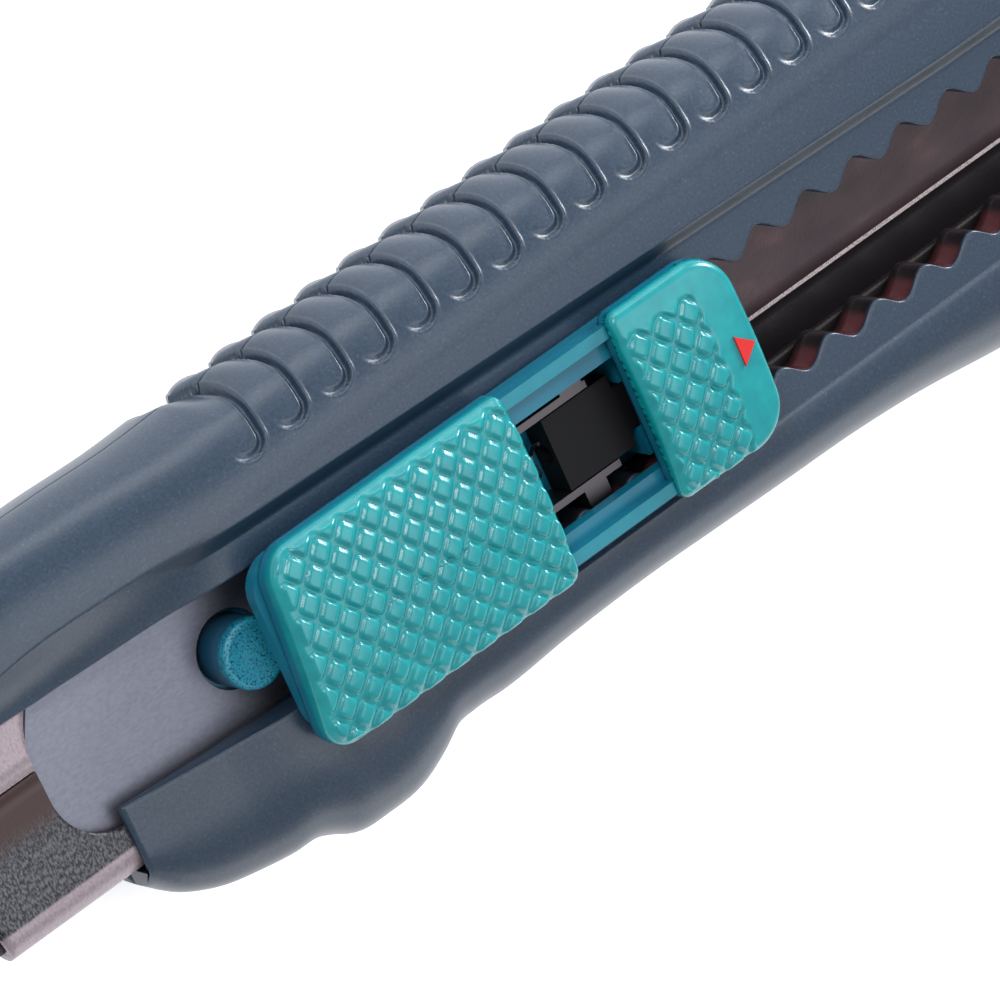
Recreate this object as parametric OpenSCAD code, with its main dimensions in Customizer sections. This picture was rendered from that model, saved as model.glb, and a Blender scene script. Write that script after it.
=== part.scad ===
// Utility knife for 18 mm snap-off blades. It lies on its back face: +X runs from the nose to the
// tail, +Y towards the ribbed spine, +Z towards the slider. Every module is drawn with x = 0 at the
// nose of the steel channel and y = 0 on the channel's centre line, then moved into the part's frame.

/* [Body] */
// Where the plastic halves start on the spine side of the steel nose
body_x0 = 5; // [4:0.1:8]
// Where the plastic halves start on the belly side
belly_x0 = 13.8; // [13:0.1:15]
// Where the plastic halves end and the tail cap starts
body_x1 = 148; // [145:1:152]
// Height of the spine above the channel's centre line
spine_y = 15.6; // [15.4:0.1:16]
// Level of the parting plane between the halves
parting_z = 7; // [6.9:0.05:7.1]
// Level of the front face along its crown
face_z = 13.3; // [13.2:0.1:13.8]
// Distance between two grip ribs on the spine
rib_pitch = 3.74; // [3.6:0.02:3.9]
// Number of grip ribs
rib_count = 23; // [12:1:23]

/* [Slide track] */
// Centre line of the slot and of the slider's neck
track_y = -2.05; // [-2.15:0.05:-1.95]
// Half width of the slot between two opposite lobes
slot_half = 4.15; // [4.1:0.05:4.2]
// Distance between two scallops of the slot
scallop_pitch = 4.5; // [4.5:0.1:4.5]
// Offset of the belly side's scallops from the spine side's
belly_shift = -1.2; // [-1.3:0.1:0]
// Number of clicks over the slider's travel
clicks = 14; // [10:1:14]
// Level of the sunk track beside the slot
track_z = 12.5; // [12.4:0.05:12.6]
// Belly edge of the sunk track
track_low_y = -9.3; // [-9.4:0.1:-9.1]

/* [Channel and blade] */
// Outer width of the steel channel
channel_w = 20.4; // [20.2:0.1:20.6]
// Thickness of the channel's sheet
sheet = 0.6; // [0.5:0.05:0.6]
// Width of the snap-off blade
blade_w = 18; // [18:1:18]
// Length of the blade
blade_l = 100; // [90:10:100]
// Thickness of the blade
blade_t = 0.5; // [0.45:0.05:0.5]
// Distance between two score lines
score_pitch = 10; // [10:1:10]
// Diameter of the pin that holds the blade
pin_d = 4.7; // [4.5:0.1:5]
// Centre line of the pin
pin_y = -1.3; // [-1.4:0.1:-1.2]

/* [Slider] */
// Place of the slider's front edge when the blade is out
slider_x0 = 26.3; // [26.2:0.1:26.4]
// Length of the knurled front pad
pad_l = 20.8; // [20:0.1:21]
// Gap that the lock button slides in
pad_gap = 10; // [9.5:0.1:10.5]
// Width of both knurled pieces
pad_w = 14; // [13:0.1:14]
// Centre line of the knurled pieces
pad_y = -1.75; // [-1.9:0.05:-1.6]
// Level of the top of the pads
pad_top_z = 16.4; // [16.2:0.1:17]
// Length of the lock button
button_l = 9.6; // [9:0.1:10]
// Travel of the lock button towards the pad
button_travel = 8; // [7:0.5:8]

/* [Tail cap] */
// Length of the cap beyond the halves
cap_l = 12; // [10:1:14]
// Diameter of the lanyard hole
lanyard_d = 5; // [4:0.5:5]

/* [Hidden] */
$fn = 48;
eps = 0.01;

// Levels, from the channel's floor up to the blade and the flanges
floor_z = parting_z - 0.4;
floor_top_z = floor_z + sheet;
joggle_y = -4.6;
joggle_drop = 0.6;
holder_z = floor_top_z + 0.1;
blade_z = 8.25;
blade_top_z = blade_z + blade_t;
flange_top_z = 9.5;
flange_z = flange_top_z - sheet;
channel_half = channel_w / 2;
window_x = 10;
window_top_y = 6.5;
window_bottom_y = -6.7;

// Slider, blade and travel
travel = clicks * scallop_pitch;
pin_x = slider_x0 - 0.2;
blade_y = -0.3;
hole_back = 8;
hole_d = pin_d + 0.6;
blade_x1 = pin_x + hole_back;
blade_x0 = blade_x1 - blade_l;
slider_l = pad_l + pad_gap + button_l;
slider_x1 = slider_x0 + slider_l;
neck_half = 3.8;
tray_z = track_z + 0.3;
tray_top_z = tray_z + 1;
pad_r = 3;
scallop_r = 1.75;
scallop_x0 = 31.9;
slot_x1 = slider_x1 + travel + 4;
deck_z = flange_z - 0.08;

// Lock inside the slider's neck, from the return spring at its front to the button's stem
lock_z = 9.75;
lock_top_z = 12.1;
lock_mid_z = (lock_z + lock_top_z) / 2;
lock_half = 1.6;
nose_x = scallop_x0 + scallop_pitch * 5;
nose_r = 0.95;
arm_y = 3;
nose_y = 4.1;
arm_t = 0.5;
pivot_x = nose_x - 12.8;
pivot_y = 2.75;
wedge_x0 = nose_x - 3;
wedge_x1 = nose_x + 2.8;
wedge_half = 2.65;
lock_x1 = slider_x1 - 4.3;
stem_x0 = slider_x1 - 8;
stem_x1 = slider_x1 - 5;
hollow_half = 4.2;
spring_x0 = slider_x0 + 8.3;
rod_r = 0.6;
screw_x = [slider_x0 + 9.4, slider_x0 + 9.4, slider_x1 - 2.3];
screw_side = [-2.75, 2.75, 0];

// Outline of the belly: [x, y] of the finger guard, the waist and the palm swell
belly = [
    [body_x0, -13.4], [belly_x0, -13.6], [17.7, -14.6], [22, -15.8], [26.4, -16.2], [28.7, -17.6],
    [31.8, -17.8], [34.4, -17.4], [36.4, -16.4], [38.2, -15.2], [41, -15], [47.6, -14.9],
    [56, -14.8], [68, -15.1], [74, -15.4], [88, -17.1], [100, -18.2], [112, -18.6],
    [122, -18.4], [132, -17], [141, -15], [body_x1, -13.4]
];
belly_low = min([for (p = belly) p[1]]);
row_x = (blade_x0 + body_x1 + cap_l) / 2;
row_y = (spine_y + belly_low) / 2;

module place() translate([-row_x, -row_y, 0]) children();

// A block given by its two corners
module block(low, high) translate(low) cube(high - low);

// A rectangle with rounded corners in plan, extruded up from z0 to z1
module rounded_slab(x0, x1, y0, y1, z0, z1, r) {
    translate([0, 0, z0]) linear_extrude(z1 - z0) {
        translate([x0 + r, y0]) square([x1 - x0 - 2 * r, y1 - y0]);
        translate([x0, y0 + r]) square([x1 - x0, y1 - y0 - 2 * r]);
        for (x = [x0 + r, x1 - r], y = [y0 + r, y1 - r]) translate([x, y]) circle(r);
    }
}

function mix(a, b, t) = a + (b - a) * t;
function smooth(t) = t * t * (3 - 2 * t);
function clamp01(t) = max(0, min(1, t));

// Height of the spine at x: it rises behind the nose and drops a little over the tail
function spine_at(x) = spine_y - 3.6 * pow(clamp01((16 - x) / 11), 2)
    - 3.2 * pow(clamp01((x - 136) / 12), 2);

// Level of the ramp behind the nose, on the belly side
function ramp_at(x) = mix(10.2, face_z, smooth(clamp01((x - belly_x0) / 19)));

// Outline of both halves in plan, with the belly drawn in by an inset
function outline(inset) = concat([for (p = belly) [p[0], p[1] + inset]],
    [for (x = [body_x1:-3:136]) [x, spine_at(x)]], [for (x = [17:-3:body_x0]) [x, spine_at(x)]]);

// One half as layers whose belly edge steps in, rounded along the spine to a radius
module half_blank(layers, edge_r) intersection() {
    for (l = layers) translate([0, 0, l[0]]) linear_extrude(l[1] - l[0]) polygon(outline(l[2]));
    rotate([90, 0, 90]) linear_extrude(body_x1 + 10) {
        translate([-30, -1]) square([30 + spine_y - edge_r, 30]);
        translate([spine_y - edge_r, parting_z]) circle(edge_r);
    }
}

front_layers = [[parting_z, 10.6, 0], [10.6, 11.9, 0.7], [11.9, 12.8, 1.8], [12.8, face_z, 3.2]];
back_layers = [[0, 0.6, 3], [0.6, 1.6, 1.5], [1.6, 3, 0.5], [3, parting_z, 0]];

// Middle of a scallop on the spine side (1) or the belly side (-1)
function scallop_at(i, side) = scallop_x0 + i * scallop_pitch + (side < 0 ? belly_shift : 0);

// Slot through the front half: straight ahead of the slider, scalloped on both sides behind it
module slot_cut() {
    block([0, track_y - slot_half, parting_z - 1], [slot_x1 - 3, track_y + slot_half, 20]);
    block([0, track_y, parting_z - 1], [scallop_x0 - 2.2, track_y + slot_half + 1.3, 20]);
    for (i = [0:clicks + 7], side = [-1, 1])
        translate([scallop_at(i, side), track_y + side * (slot_half - 0.5), parting_z - 1])
            cylinder(r = scallop_r, h = 20);
}

// Sunk track, whose spine edge runs slightly towards the slot
module track_cut() translate([0, 0, track_z]) linear_extrude(5)
    polygon([[24, track_low_y], [24, 6.9], [90, 5.3], [slot_x1 + 3, 5.3], [slot_x1 + 3, track_low_y]]);

// Ramp that runs down to the nose on the belly side
module ramp_cut() translate([0, track_y - slot_half + 0.5, 0]) rotate([90, 0, 0])
    linear_extrude(20) polygon(concat([for (x = [belly_x0 - 2:1.5:belly_x0 + 19]) [x, ramp_at(x)]],
        [[belly_x0 + 19, 20], [belly_x0 - 2, 20]]));

// V grooves round the spine between the grip ribs
module rib_cuts(edge_r, a0) for (i = [0:rib_count - 1])
    translate([rib_x0 + i * rib_pitch, spine_y - edge_r, parting_z]) rotate([0, 90, 0])
        rotate([0, 0, a0]) rotate_extrude(angle = 88)
            polygon([[edge_r - rib_depth, 0], [edge_r + 0.5, -0.5], [edge_r + 0.5, 0.5]]);

rib_x0 = 32;
rib_depth = 0.65;

// Screws that hold the halves together, put in from the back
screw_sites = [[62, 11.6], [100, 11.6], [132, 11.6], [30.5, -13], [116, -13.4]];
screw_r = 1;
screw_top_z = 11.2;
head_r = 1.6;
head_low_z = 2.2;
head_z = 3.6;

// Flush rivets between the channel's floor and the back half
rivet_x = [26, 122];
rivet_r = 1;

// Pocket of the tail cap's tongues
pocket_x = body_x1 - 9;
pocket_half = 8.1;

module screw_cut(r, z0, z1)
    for (s = screw_sites) translate([s[0], s[1], z0]) cylinder(r = r, h = z1 - z0);

module front_shell() color("slategray") place() difference() {
    half_blank(front_layers, face_z - parting_z);
    block([body_x0 - 1, -channel_half - 0.05, parting_z - 1],
        [body_x1 + 1, channel_half + 0.05, flange_top_z + 0.05]);
    slot_cut();
    track_cut();
    ramp_cut();
    nose_cuts();
    screw_cut(screw_r + 0.02, parting_z - 1, screw_top_z + 0.1);
    block([pocket_x, -pocket_half, parting_z - 1], [body_x1 + 1, pocket_half, 11.4]);
    rib_cuts(face_z - parting_z, 90);
}

// The halves end square on the belly side of the nose and slanted on the spine side
module nose_cuts() translate([0, 0, -1]) linear_extrude(20)
    polygon([[0, -30], [belly_x0, -30], [belly_x0, track_y - 2], [belly_x0 - 5.2, track_y],
        [body_x0 - 1, spine_y], [body_x0 - 1, 30], [0, 30]]);

module back_shell() color("slategray") place() difference() {
    half_blank(back_layers, parting_z);
    block([body_x0 - 1, -channel_half - 0.05, floor_z - joggle_drop - 0.05],
        [body_x1 + 1, joggle_y + 0.6, parting_z + 1]);
    block([body_x0 - 1, joggle_y, floor_z - 0.05],
        [body_x1 + 1, channel_half + 0.05, parting_z + 1]);
    // Hollows under the channel that keep the wall about 2 mm thick
    for (i = [0:2]) block([32 + i * 29, -8, 2], [57 + i * 29, 8, floor_z]);
    screw_cut(screw_r + 0.1, -1, parting_z + 1);
    screw_cut(head_r + 0.1, -1, head_z);
    for (x = rivet_x) translate([x, 0, 2]) cylinder(r = rivet_r + 0.02, h = 6);
    block([pocket_x, -pocket_half, 3.2], [body_x1 + 1, pocket_half, parting_z + 1]);
    nose_cuts();
    rib_cuts(parting_z, 2);
}

module shell_screws() color("dimgray") place() for (s = screw_sites) translate([s[0], s[1], 0])
    difference() {
        union() {
            translate([0, 0, head_low_z]) cylinder(r = head_r, h = head_z - head_low_z);
            translate([0, 0, head_z - eps]) cylinder(r = screw_r, h = screw_top_z - head_z);
        }
        for (a = [0, 90]) rotate([0, 0, a]) translate([-1.2, -0.25, head_low_z - 1])
            cube([2.4, 0.5, 1.6]);
    }

// Channel cross section between its outer corners, without the flanges
module channel_section() {
    difference() {
        translate([-channel_half, floor_z - joggle_drop])
            square([channel_w, flange_top_z - floor_z + joggle_drop]);
        translate([-channel_half + sheet, floor_top_z - joggle_drop])
            square([channel_half + joggle_y - sheet, flange_z - floor_top_z + joggle_drop]);
        translate([joggle_y - eps, floor_top_z])
            square([channel_half - joggle_y - sheet + eps, flange_z - floor_top_z]);
        translate([joggle_y + sheet, floor_z - joggle_drop - 1]) square([channel_w, joggle_drop + 1]);
    }
}

module blade_channel() color("silver") place() difference() {
    rotate([90, 0, 90]) translate([0, 0, -2]) linear_extrude(body_x1 - 4.5) channel_section();
    // Seam between the flanges at the nose
    block([-4, -0.12, flange_z - eps], [window_x + 1, 0.12, flange_top_z + 1]);
    // Window with a rounded front corner, open to the tail
    translate([0, 0, flange_z - eps]) linear_extrude(2) {
        translate([window_x + 4, window_bottom_y])
            square([body_x1, window_top_y - window_bottom_y]);
        translate([window_x, window_bottom_y + 4])
            square([body_x1, window_top_y - window_bottom_y - 4]);
        translate([window_x + 4, window_bottom_y + 4]) circle(4);
    }
    // The end leans forward on the spine side
    translate([3.6, -channel_half - 1, 0]) rotate([0, 0, 13])
        translate([-12, 0, 0]) cube([12, channel_w + 8, 20]);
    for (x = rivet_x) translate([x, 0, 0]) cylinder(r = rivet_r + 0.02, h = floor_top_z + eps);
}

module channel_rivets() color("gray") place() for (x = rivet_x) translate([x, 0, 2.2])
    cylinder(r = rivet_r, h = floor_top_z - 2.25);

// Lean of the score lines and of the blade's end, as a slope
score_lean = 0.577;

module snap_blade() color("lightgray") place() difference() {
    y0 = blade_y - blade_w / 2;
    translate([0, y0, blade_z]) linear_extrude(blade_t)
        polygon([[blade_x0, 0], [blade_x0 + score_lean * blade_w, blade_w], [blade_x1, blade_w],
            [blade_x1, 0]]);
    translate([pin_x, pin_y, 0]) cylinder(d = hole_d, h = 20);
    // Bevels that meet at the cutting edge
    translate([blade_x0 - 1, y0, blade_z + blade_t / 2]) rotate([90, 0, 90])
        linear_extrude(blade_l + 2) {
            polygon([[-1, 0.02], [0, 0.02], [2.4, 1], [-1, 1]]);
            polygon([[-1, -0.02], [0, -0.02], [2.4, -1], [-1, -1]]);
        }
    // Score lines
    for (i = [1:7]) translate([blade_x0 + i * score_pitch, y0, blade_top_z])
        rotate([0, 0, -atan(score_lean)]) rotate([-90, 0, 0]) translate([0, 0, -2])
            linear_extrude(blade_w + 8) polygon([[-0.15, -0.1], [0.15, -0.1], [0, 0.14]]);
}

holder_x0 = pin_x - 5.5;
holder_x1 = slider_x1 - 1;
leaf_x0 = 40;
leaf_l = 14;

module blade_holder() color("lightseagreen") place() difference() {
    union() {
        block([holder_x0, -8.9, holder_z], [holder_x1, 8.3, blade_z - 0.05]);
        block([blade_x1 + 0.3, -8.9, holder_z], [holder_x1, 8.3, deck_z]);
        translate([pin_x, pin_y, holder_z]) cylinder(d = pin_d, h = blade_top_z + 2.85 - holder_z);
    }
    for (i = [0:2]) translate([screw_x[i], track_y + screw_side[i], 0]) cylinder(r = 0.82, h = 20);
    block([leaf_x0, -3.2, 0], [leaf_x0 + leaf_l, 0.8, holder_z + 0.75]);
}

// Bowed leaf between the holder and the channel's floor
module pressure_spring() color("gainsboro") place()
    translate([leaf_x0 + leaf_l / 2, 0.6, holder_z + 0.67 - leaf_bow_r]) rotate([90, 0, 0])
        linear_extrude(3.6) intersection() {
            difference() {
                circle(leaf_bow_r, $fn = 128);
                circle(leaf_bow_r - 0.2, $fn = 128);
            }
            translate([-leaf_l / 2 + 0.3, leaf_bow_r - 3]) square([leaf_l - 0.6, 4]);
        }

leaf_bow_r = 42;

// Slider body: the tray over the track, the neck in the slot and the deck that closes it below
module slider_base() color("lightseagreen") place() difference() {
    half = pad_w / 2 - 0.6;
    union() {
        rounded_slab(slider_x0 + 0.3, slider_x1 - 0.3, pad_y - half, pad_y + half,
            tray_z, tray_top_z, 2.4);
        block([slider_x0 + 3.1, track_y - neck_half, deck_z],
            [slider_x1 - 0.5, track_y + neck_half, tray_z + eps]);
        for (side = [-1, 1]) translate([0, pad_y + side * rail_y, 0])
            block([slider_x0 + pad_l + 0.4, -0.45, tray_top_z - eps],
                [slider_x1 - 1, 0.45, tray_top_z + 0.9]);
    }
    // Space of the lock slide, then the wedge with the two arms beside it
    block([nose_x, track_y - lock_half - 0.1, lock_z - 0.1],
        [lock_x1 + 0.3, track_y + lock_half + 0.1, lock_top_z + 0.1]);
    block([pivot_x - 1.3, track_y - neck_half - 1, lock_z - 0.1],
        [wedge_x1 + 0.6, track_y + neck_half + 1, lock_top_z + 0.1]);
    // Hollow between the pads, open down to the lock slide
    block([slider_x0 + pad_l + 0.6, track_y - hollow_half, lock_top_z + 0.1],
        [stem_x1 + 0.2, track_y + hollow_half, tray_top_z + 1]);
    // Bores of the return spring and its rod
    translate([spring_x0, track_y, lock_mid_z]) rotate([0, 90, 0]) cylinder(r = 1.15, h = 8);
    translate([spring_x0 - 2, track_y, lock_mid_z]) rotate([0, 90, 0])
        cylinder(r = rod_r + 0.02, h = 8);
    for (i = [0:2]) translate([screw_x[i], track_y + screw_side[i], 0]) {
        cylinder(r = 0.82, h = 20);
        translate([0, 0, tray_top_z - 0.85]) cylinder(r = 1.45, h = 3);
    }
    for (side = [-1, 1]) translate([pivot_x, track_y + side * pivot_y, 0])
        translate([0, 0, lock_z - 0.6]) cylinder(r = 0.5, h = lock_top_z - lock_z + 1.1);
}

rail_y = pad_w / 2 - 1.1;

module slider_screws() color("silver") place() for (i = [0:2])
    translate([screw_x[i], track_y + screw_side[i], 0]) difference() {
        union() {
            translate([0, 0, holder_z + 0.1]) cylinder(r = 0.8, h = tray_top_z - holder_z - 0.9);
            translate([0, 0, tray_top_z - 0.83]) cylinder(r = 1.4, h = 0.8);
        }
        translate([-1, -0.2, tray_top_z - 0.4]) cube([2, 0.4, 1]);
    }

// Two leaves, one to a side: an eye on its pin, an arm and a rounded nose in a scallop
module detent_springs() color("gainsboro") place() for (side = [-1, 1])
    translate([0, track_y, lock_z]) scale_side(side) linear_extrude(lock_top_z - lock_z)
        difference() {
            union() {
                translate([pivot_x, pivot_y]) circle(0.85);
                translate([pivot_x, arm_y - arm_t / 2]) square([nose_x - pivot_x + 1.2, arm_t]);
                translate([scallop_at(5, side), 0]) {
                    translate([0, nose_y]) circle(nose_r);
                    translate([-nose_r, arm_y]) square([2 * nose_r, nose_y - arm_y]);
                }
            }
            translate([pivot_x, pivot_y]) circle(0.52);
        }

module scale_side(side) if (side > 0) children(); else mirror([0, 1, 0]) children();

module detent_pins() color("gray") place() for (side = [-1, 1])
    translate([pivot_x, track_y + side * pivot_y, lock_z - 0.5])
        cylinder(r = 0.48, h = lock_top_z - lock_z + 0.9);

// Knurled piece: rounded in plan, with a step that stands for the bevel round its top
module pad_block(x0, x1, z0, z1) {
    half = pad_w / 2;
    bevel = 0.6;
    rounded_slab(x0, x1, pad_y - half, pad_y + half, z0, z1 - bevel, pad_r);
    rounded_slab(x0 + bevel, x1 - bevel, pad_y - half + bevel, pad_y + half - bevel,
        z1 - bevel - eps, z1, pad_r - bevel);
}

module thumb_pad() color("lightseagreen") place()
    pad_block(slider_x0, slider_x0 + pad_l, tray_top_z, pad_top_z);

button_x0 = slider_x1 - button_l;

module lock_button() color("lightseagreen") place() difference() {
    union() {
        pad_block(button_x0, slider_x1, tray_top_z + 0.1, pad_top_z - 0.3);
        block([stem_x0, track_y - 1.1, lock_z + 0.45], [stem_x1, track_y + 1.1, tray_top_z + 0.5]);
    }
    for (side = [-1, 1]) translate([0, pad_y + side * rail_y, 0])
        block([button_x0 - 1, -0.6, tray_top_z], [slider_x1 + 1, 0.6, tray_top_z + 1.05]);
    translate([0, 0, pad_top_z - 0.6]) linear_extrude(2) marker_outline();
}

module marker_outline() translate([slider_x1 - 1.6, pad_y])
    polygon([[-0.75, -1.2], [-0.75, 1.2], [0.75, 0]]);

module button_marker() color("red") place() translate([0, 0, pad_top_z - 0.6])
    linear_extrude(0.33) marker_outline();

// Bar that the button moves; its wedge keeps the two arms from closing
module lock_slide() color("dimgray") place() difference() {
    union() {
        block([wedge_x0, track_y - wedge_half, lock_z], [wedge_x1, track_y + wedge_half, lock_top_z]);
        block([wedge_x1 - 1, track_y - lock_half, lock_z], [lock_x1, track_y + lock_half, lock_top_z]);
    }
    translate([wedge_x0 - 1, track_y, lock_mid_z]) rotate([0, 90, 0])
        cylinder(r = rod_r + 0.08, h = 9);
    block([stem_x0 - 0.05, track_y - 1.15, lock_z + 0.4], [stem_x1 + 0.05, track_y + 1.15, 20]);
}

// Skin over a list of rings, closed by a flat face at each end
module skin(rings) {
    n = len(rings[0]);
    last = len(rings) - 1;
    points = [for (ring = rings) for (p = ring) p];
    sides = [for (i = [0:last - 1], j = [0:n - 1]) let (a = i * n + j, b = i * n + (j + 1) % n)
        each [[a, b, b + n], [a, b + n, a + n]]];
    ends = [[for (j = [n - 1:-1:0]) j], [for (j = [0:n - 1]) last * n + j]];
    polyhedron(points, concat(sides, ends));
}

spring_r = 0.92;
wire_r = 0.15;
coil_turns = 9;
coil_steps = 9;
coil_l = wedge_x0 - spring_x0 - 2 * wire_r - 0.06;

function coil_x(t) = spring_x0 + wire_r + 0.03 + coil_l * t / coil_turns;

module return_spring() color("silver") place() translate([0, track_y, lock_mid_z])
    skin([for (i = [0:coil_turns * coil_steps]) let (t = i / coil_steps)
        [for (a = [0:72:288]) [coil_x(t) + wire_r * sin(a),
            (spring_r + wire_r * cos(a)) * cos(360 * t), (spring_r + wire_r * cos(a)) * sin(360 * t)]]]);

module spring_guide_rod() color("gray") place() translate([spring_x0 - 1.9, track_y, lock_mid_z])
    rotate([0, 90, 0]) cylinder(r = rod_r, h = wedge_x0 - spring_x0 + 0.5);

cap_x1 = body_x1 + cap_l;
cap_x0 = body_x1 + 0.2;
cap_half = 10.5;
cap_low_z = 1.6;
cap_top_z = 11.6;
hole_site = [cap_x1 - 5.5, 5];
tongue_z = 3.9;
catch_x = body_x1 - 5;
catch_z = 3.65;

// Cap: a shoulder against the halves, an end with the lanyard hole and the slit, and three tongues
module tail_cap() color("lightseagreen") place() difference() {
    union() {
        hull() {
            rounded_slab(cap_x0, cap_x0 + 2.6, -12.8, 12.8, 1.4, 12, 1.2);
            rounded_slab(cap_x0, cap_x0 + 1.6, -11, 11, 0.2, 13.1, 0.8);
        }
        rounded_slab(cap_x0, cap_x1, -cap_half, cap_half, cap_low_z, cap_top_z, 4);
        for (side = [-1, 1]) translate([0, side * 6.45, 0])
            block([pocket_x + 0.4, -1.45, tongue_z], [cap_x0 + 1, 1.45, 5.8]);
        block([pocket_x + 0.4, -7.9, 9.8], [cap_x0 + 1, 7.9, 11.2]);
    }
    translate([hole_site[0], hole_site[1], -1]) cylinder(d = lanyard_d, h = 20);
    // Slit that takes the blade's end while a segment is snapped off
    block([cap_x1 - 7, -9, 6.1], [cap_x1 + 1, 0.6, 7.1]);
    translate([catch_x, -10, catch_z]) rotate([-90, 0, 0]) cylinder(r = 1, h = 20);
}

// Spring clip under the tongues, with a bead that holds them
module cap_catch() color("gainsboro") place() difference() {
    union() {
        block([pocket_x + 0.3, -7.7, catch_z - 0.4], [body_x1 - 0.6, 7.7, catch_z]);
        translate([catch_x, -7.7, catch_z - 0.1]) rotate([-90, 0, 0]) cylinder(r = 0.75, h = 15.4);
    }
    translate([catch_x - 5, -9, catch_z - 2.4]) cube([10, 18, 2]);
}

front_shell();
back_shell();
shell_screws();
blade_channel();
channel_rivets();
snap_blade();
blade_holder();
pressure_spring();
slider_base();
slider_screws();
detent_springs();
detent_pins();
thumb_pad();
lock_button();
button_marker();
lock_slide();
return_spring();
spring_guide_rod();
tail_cap();
cap_catch();
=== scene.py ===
"""Utility knife for snap-off blades: detailed shells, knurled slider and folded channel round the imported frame.

Lengths are written in millimetres in the knife's own drawing frame: x = 0 at the nose of the steel
channel and runs to the tail, y = 0 on the channel's centre line and runs to the ribbed spine, z = 0 on
the back face. to_frame() turns them into the frame's metres.
"""
import math

import bmesh
import bpy
import numpy as np
from mathutils import Matrix, Vector


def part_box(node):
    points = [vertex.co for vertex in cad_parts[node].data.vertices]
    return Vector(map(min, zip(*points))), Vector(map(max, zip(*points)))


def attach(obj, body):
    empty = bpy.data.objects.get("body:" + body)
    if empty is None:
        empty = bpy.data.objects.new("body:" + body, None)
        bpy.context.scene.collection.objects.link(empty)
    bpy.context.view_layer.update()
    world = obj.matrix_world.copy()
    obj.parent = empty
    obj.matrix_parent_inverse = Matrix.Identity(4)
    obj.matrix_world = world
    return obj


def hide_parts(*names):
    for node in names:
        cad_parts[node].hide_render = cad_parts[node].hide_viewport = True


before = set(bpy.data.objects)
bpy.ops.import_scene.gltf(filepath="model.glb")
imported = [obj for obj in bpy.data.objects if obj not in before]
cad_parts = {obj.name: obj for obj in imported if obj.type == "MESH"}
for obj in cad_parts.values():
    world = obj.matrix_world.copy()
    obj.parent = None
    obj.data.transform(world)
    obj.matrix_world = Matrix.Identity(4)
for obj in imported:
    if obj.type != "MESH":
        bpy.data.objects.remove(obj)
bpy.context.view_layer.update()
MM = 0.001

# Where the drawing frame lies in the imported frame
PAD_X0 = 26.3
pad_low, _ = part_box("thumb_pad")
channel_low, channel_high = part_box("blade_channel")
OFFSET = Vector((pad_low[0] / MM - PAD_X0, (channel_low[1] + channel_high[1]) / 2 / MM, 0))

# The two halves
NOSE_X_SPINE, NOSE_X_BELLY = 4.6, 13.8  # front end on the spine side and on the belly side
BODY_X1 = 148.0
PARTING_Z = 7.0
FACE_Z = 13.3
TRACK_Y, TRACK_Z = -2.05, 12.5          # the slot's middle line and the sunk track's floor
WALL_LOW = 9.6                          # lower edge of the slot's wall, just above the channel's flanges
LINING_HALF = 10.3                      # half width of the space for the steel channel
SPINE_R = 6.3
ROUND_POWER = 0.86                      # squareness of the belly side's rounding
BACK_ROUND = 5.2                        # width of that rounding on the back face
FILLET = 0.16                           # rounding of the slot's top edge
HAIR = 0.01                             # half the gap between the halves
SCREWS = [(62, 11.6), (100, 11.6), (132, 11.6), (30.5, -13), (116, -13.4)]
SCREW_HOLE_R = 1.7

# The scalloped slot; per side (1 towards the spine, -1 towards the belly): how far the scallops are shifted
# along x, half width at a lobe, depth of a valley, and the plain edge ahead of them as x and half width
SCALLOP_PITCH = 4.5
SCALLOP_X0 = 31.9
SLOT_X1, SLOT_END_R = 133.7, 4.2
SLOT_SIDES = {1: (-0.4, 4.0, 1.3, [5, 12, 22], [6.1, 5.9, 6.2]),
              -1: (-0.8, 4.15, 1.25, [14, 21, 27], [3.2, 3.6, 3.7])}

# The grip ribs; s is the arc length round the spine from the parting line, positive on the front half
RIB_X0, RIB_PITCH, RIB_COUNT = 32.0, 3.74, 23
RIB_X1 = RIB_X0 + RIB_COUNT * RIB_PITCH
RIB_RISE = 0.92
GROOVE_DEPTH = 0.34
GROOVE_REACH, GROOVE_REACH_BACK = 6.4, -7.6
HOOK_R = 1.2

# The slider's two knurled pieces
PAD_L, PAD_W, PAD_Y = 20.8, 14.0, -1.75
TRAY_TOP_Z = 13.8
BUTTON_X0, BUTTON_X1 = 57.1, 66.7
CELL_X, CELL_Y = 2.2, 2.43              # pitch of the raised cells

# The folded channel
CHANNEL_HALF = 10.2
SHEET = 0.6
FLANGE_Z = 9.5
JOGGLE_Y = -4.6                         # where the floor steps down towards the belly
FLOOR_Z = {1: 6.9, -1: 6.3}             # middle of the floor's sheet on either side of that step
WINDOW_X = 10.0                         # front end of the window between the flanges

# Outlines in plan, as [x, y]: the belly and the crown of the spine
BELLY = [(5, -10.0), (9, -10.2), (12.9, -10.6), (13.9, -11.6), (15.6, -13.2), (17.7, -14.4), (21.9, -15.5),
         (23.8, -15.75), (26.0, -15.85), (27.0, -16.3), (28.4, -17.1), (31.2, -17.35), (33.9, -17.05),
         (35.9, -16.1), (37.6, -14.95), (39.4, -14.75), (42, -14.85), (47.6, -14.5), (56, -14.35), (61, -14.5),
         (68, -14.7), (74, -14.85), (80, -15.3), (88, -16.4), (100, -17.7), (112, -18.3), (122, -18.2),
         (132, -17), (141, -15), (148, -13.4)]
SPINE = [(4, 11.9), (8, 13.2), (12, 14.0), (18.6, 14.2), (25, 14.1), (31, 14.4), (42, 14.9), (57, 15.3),
         (80, 15.5), (110, 15.5), (132, 15.2), (140, 14.6), (148, 13.2)]


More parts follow.
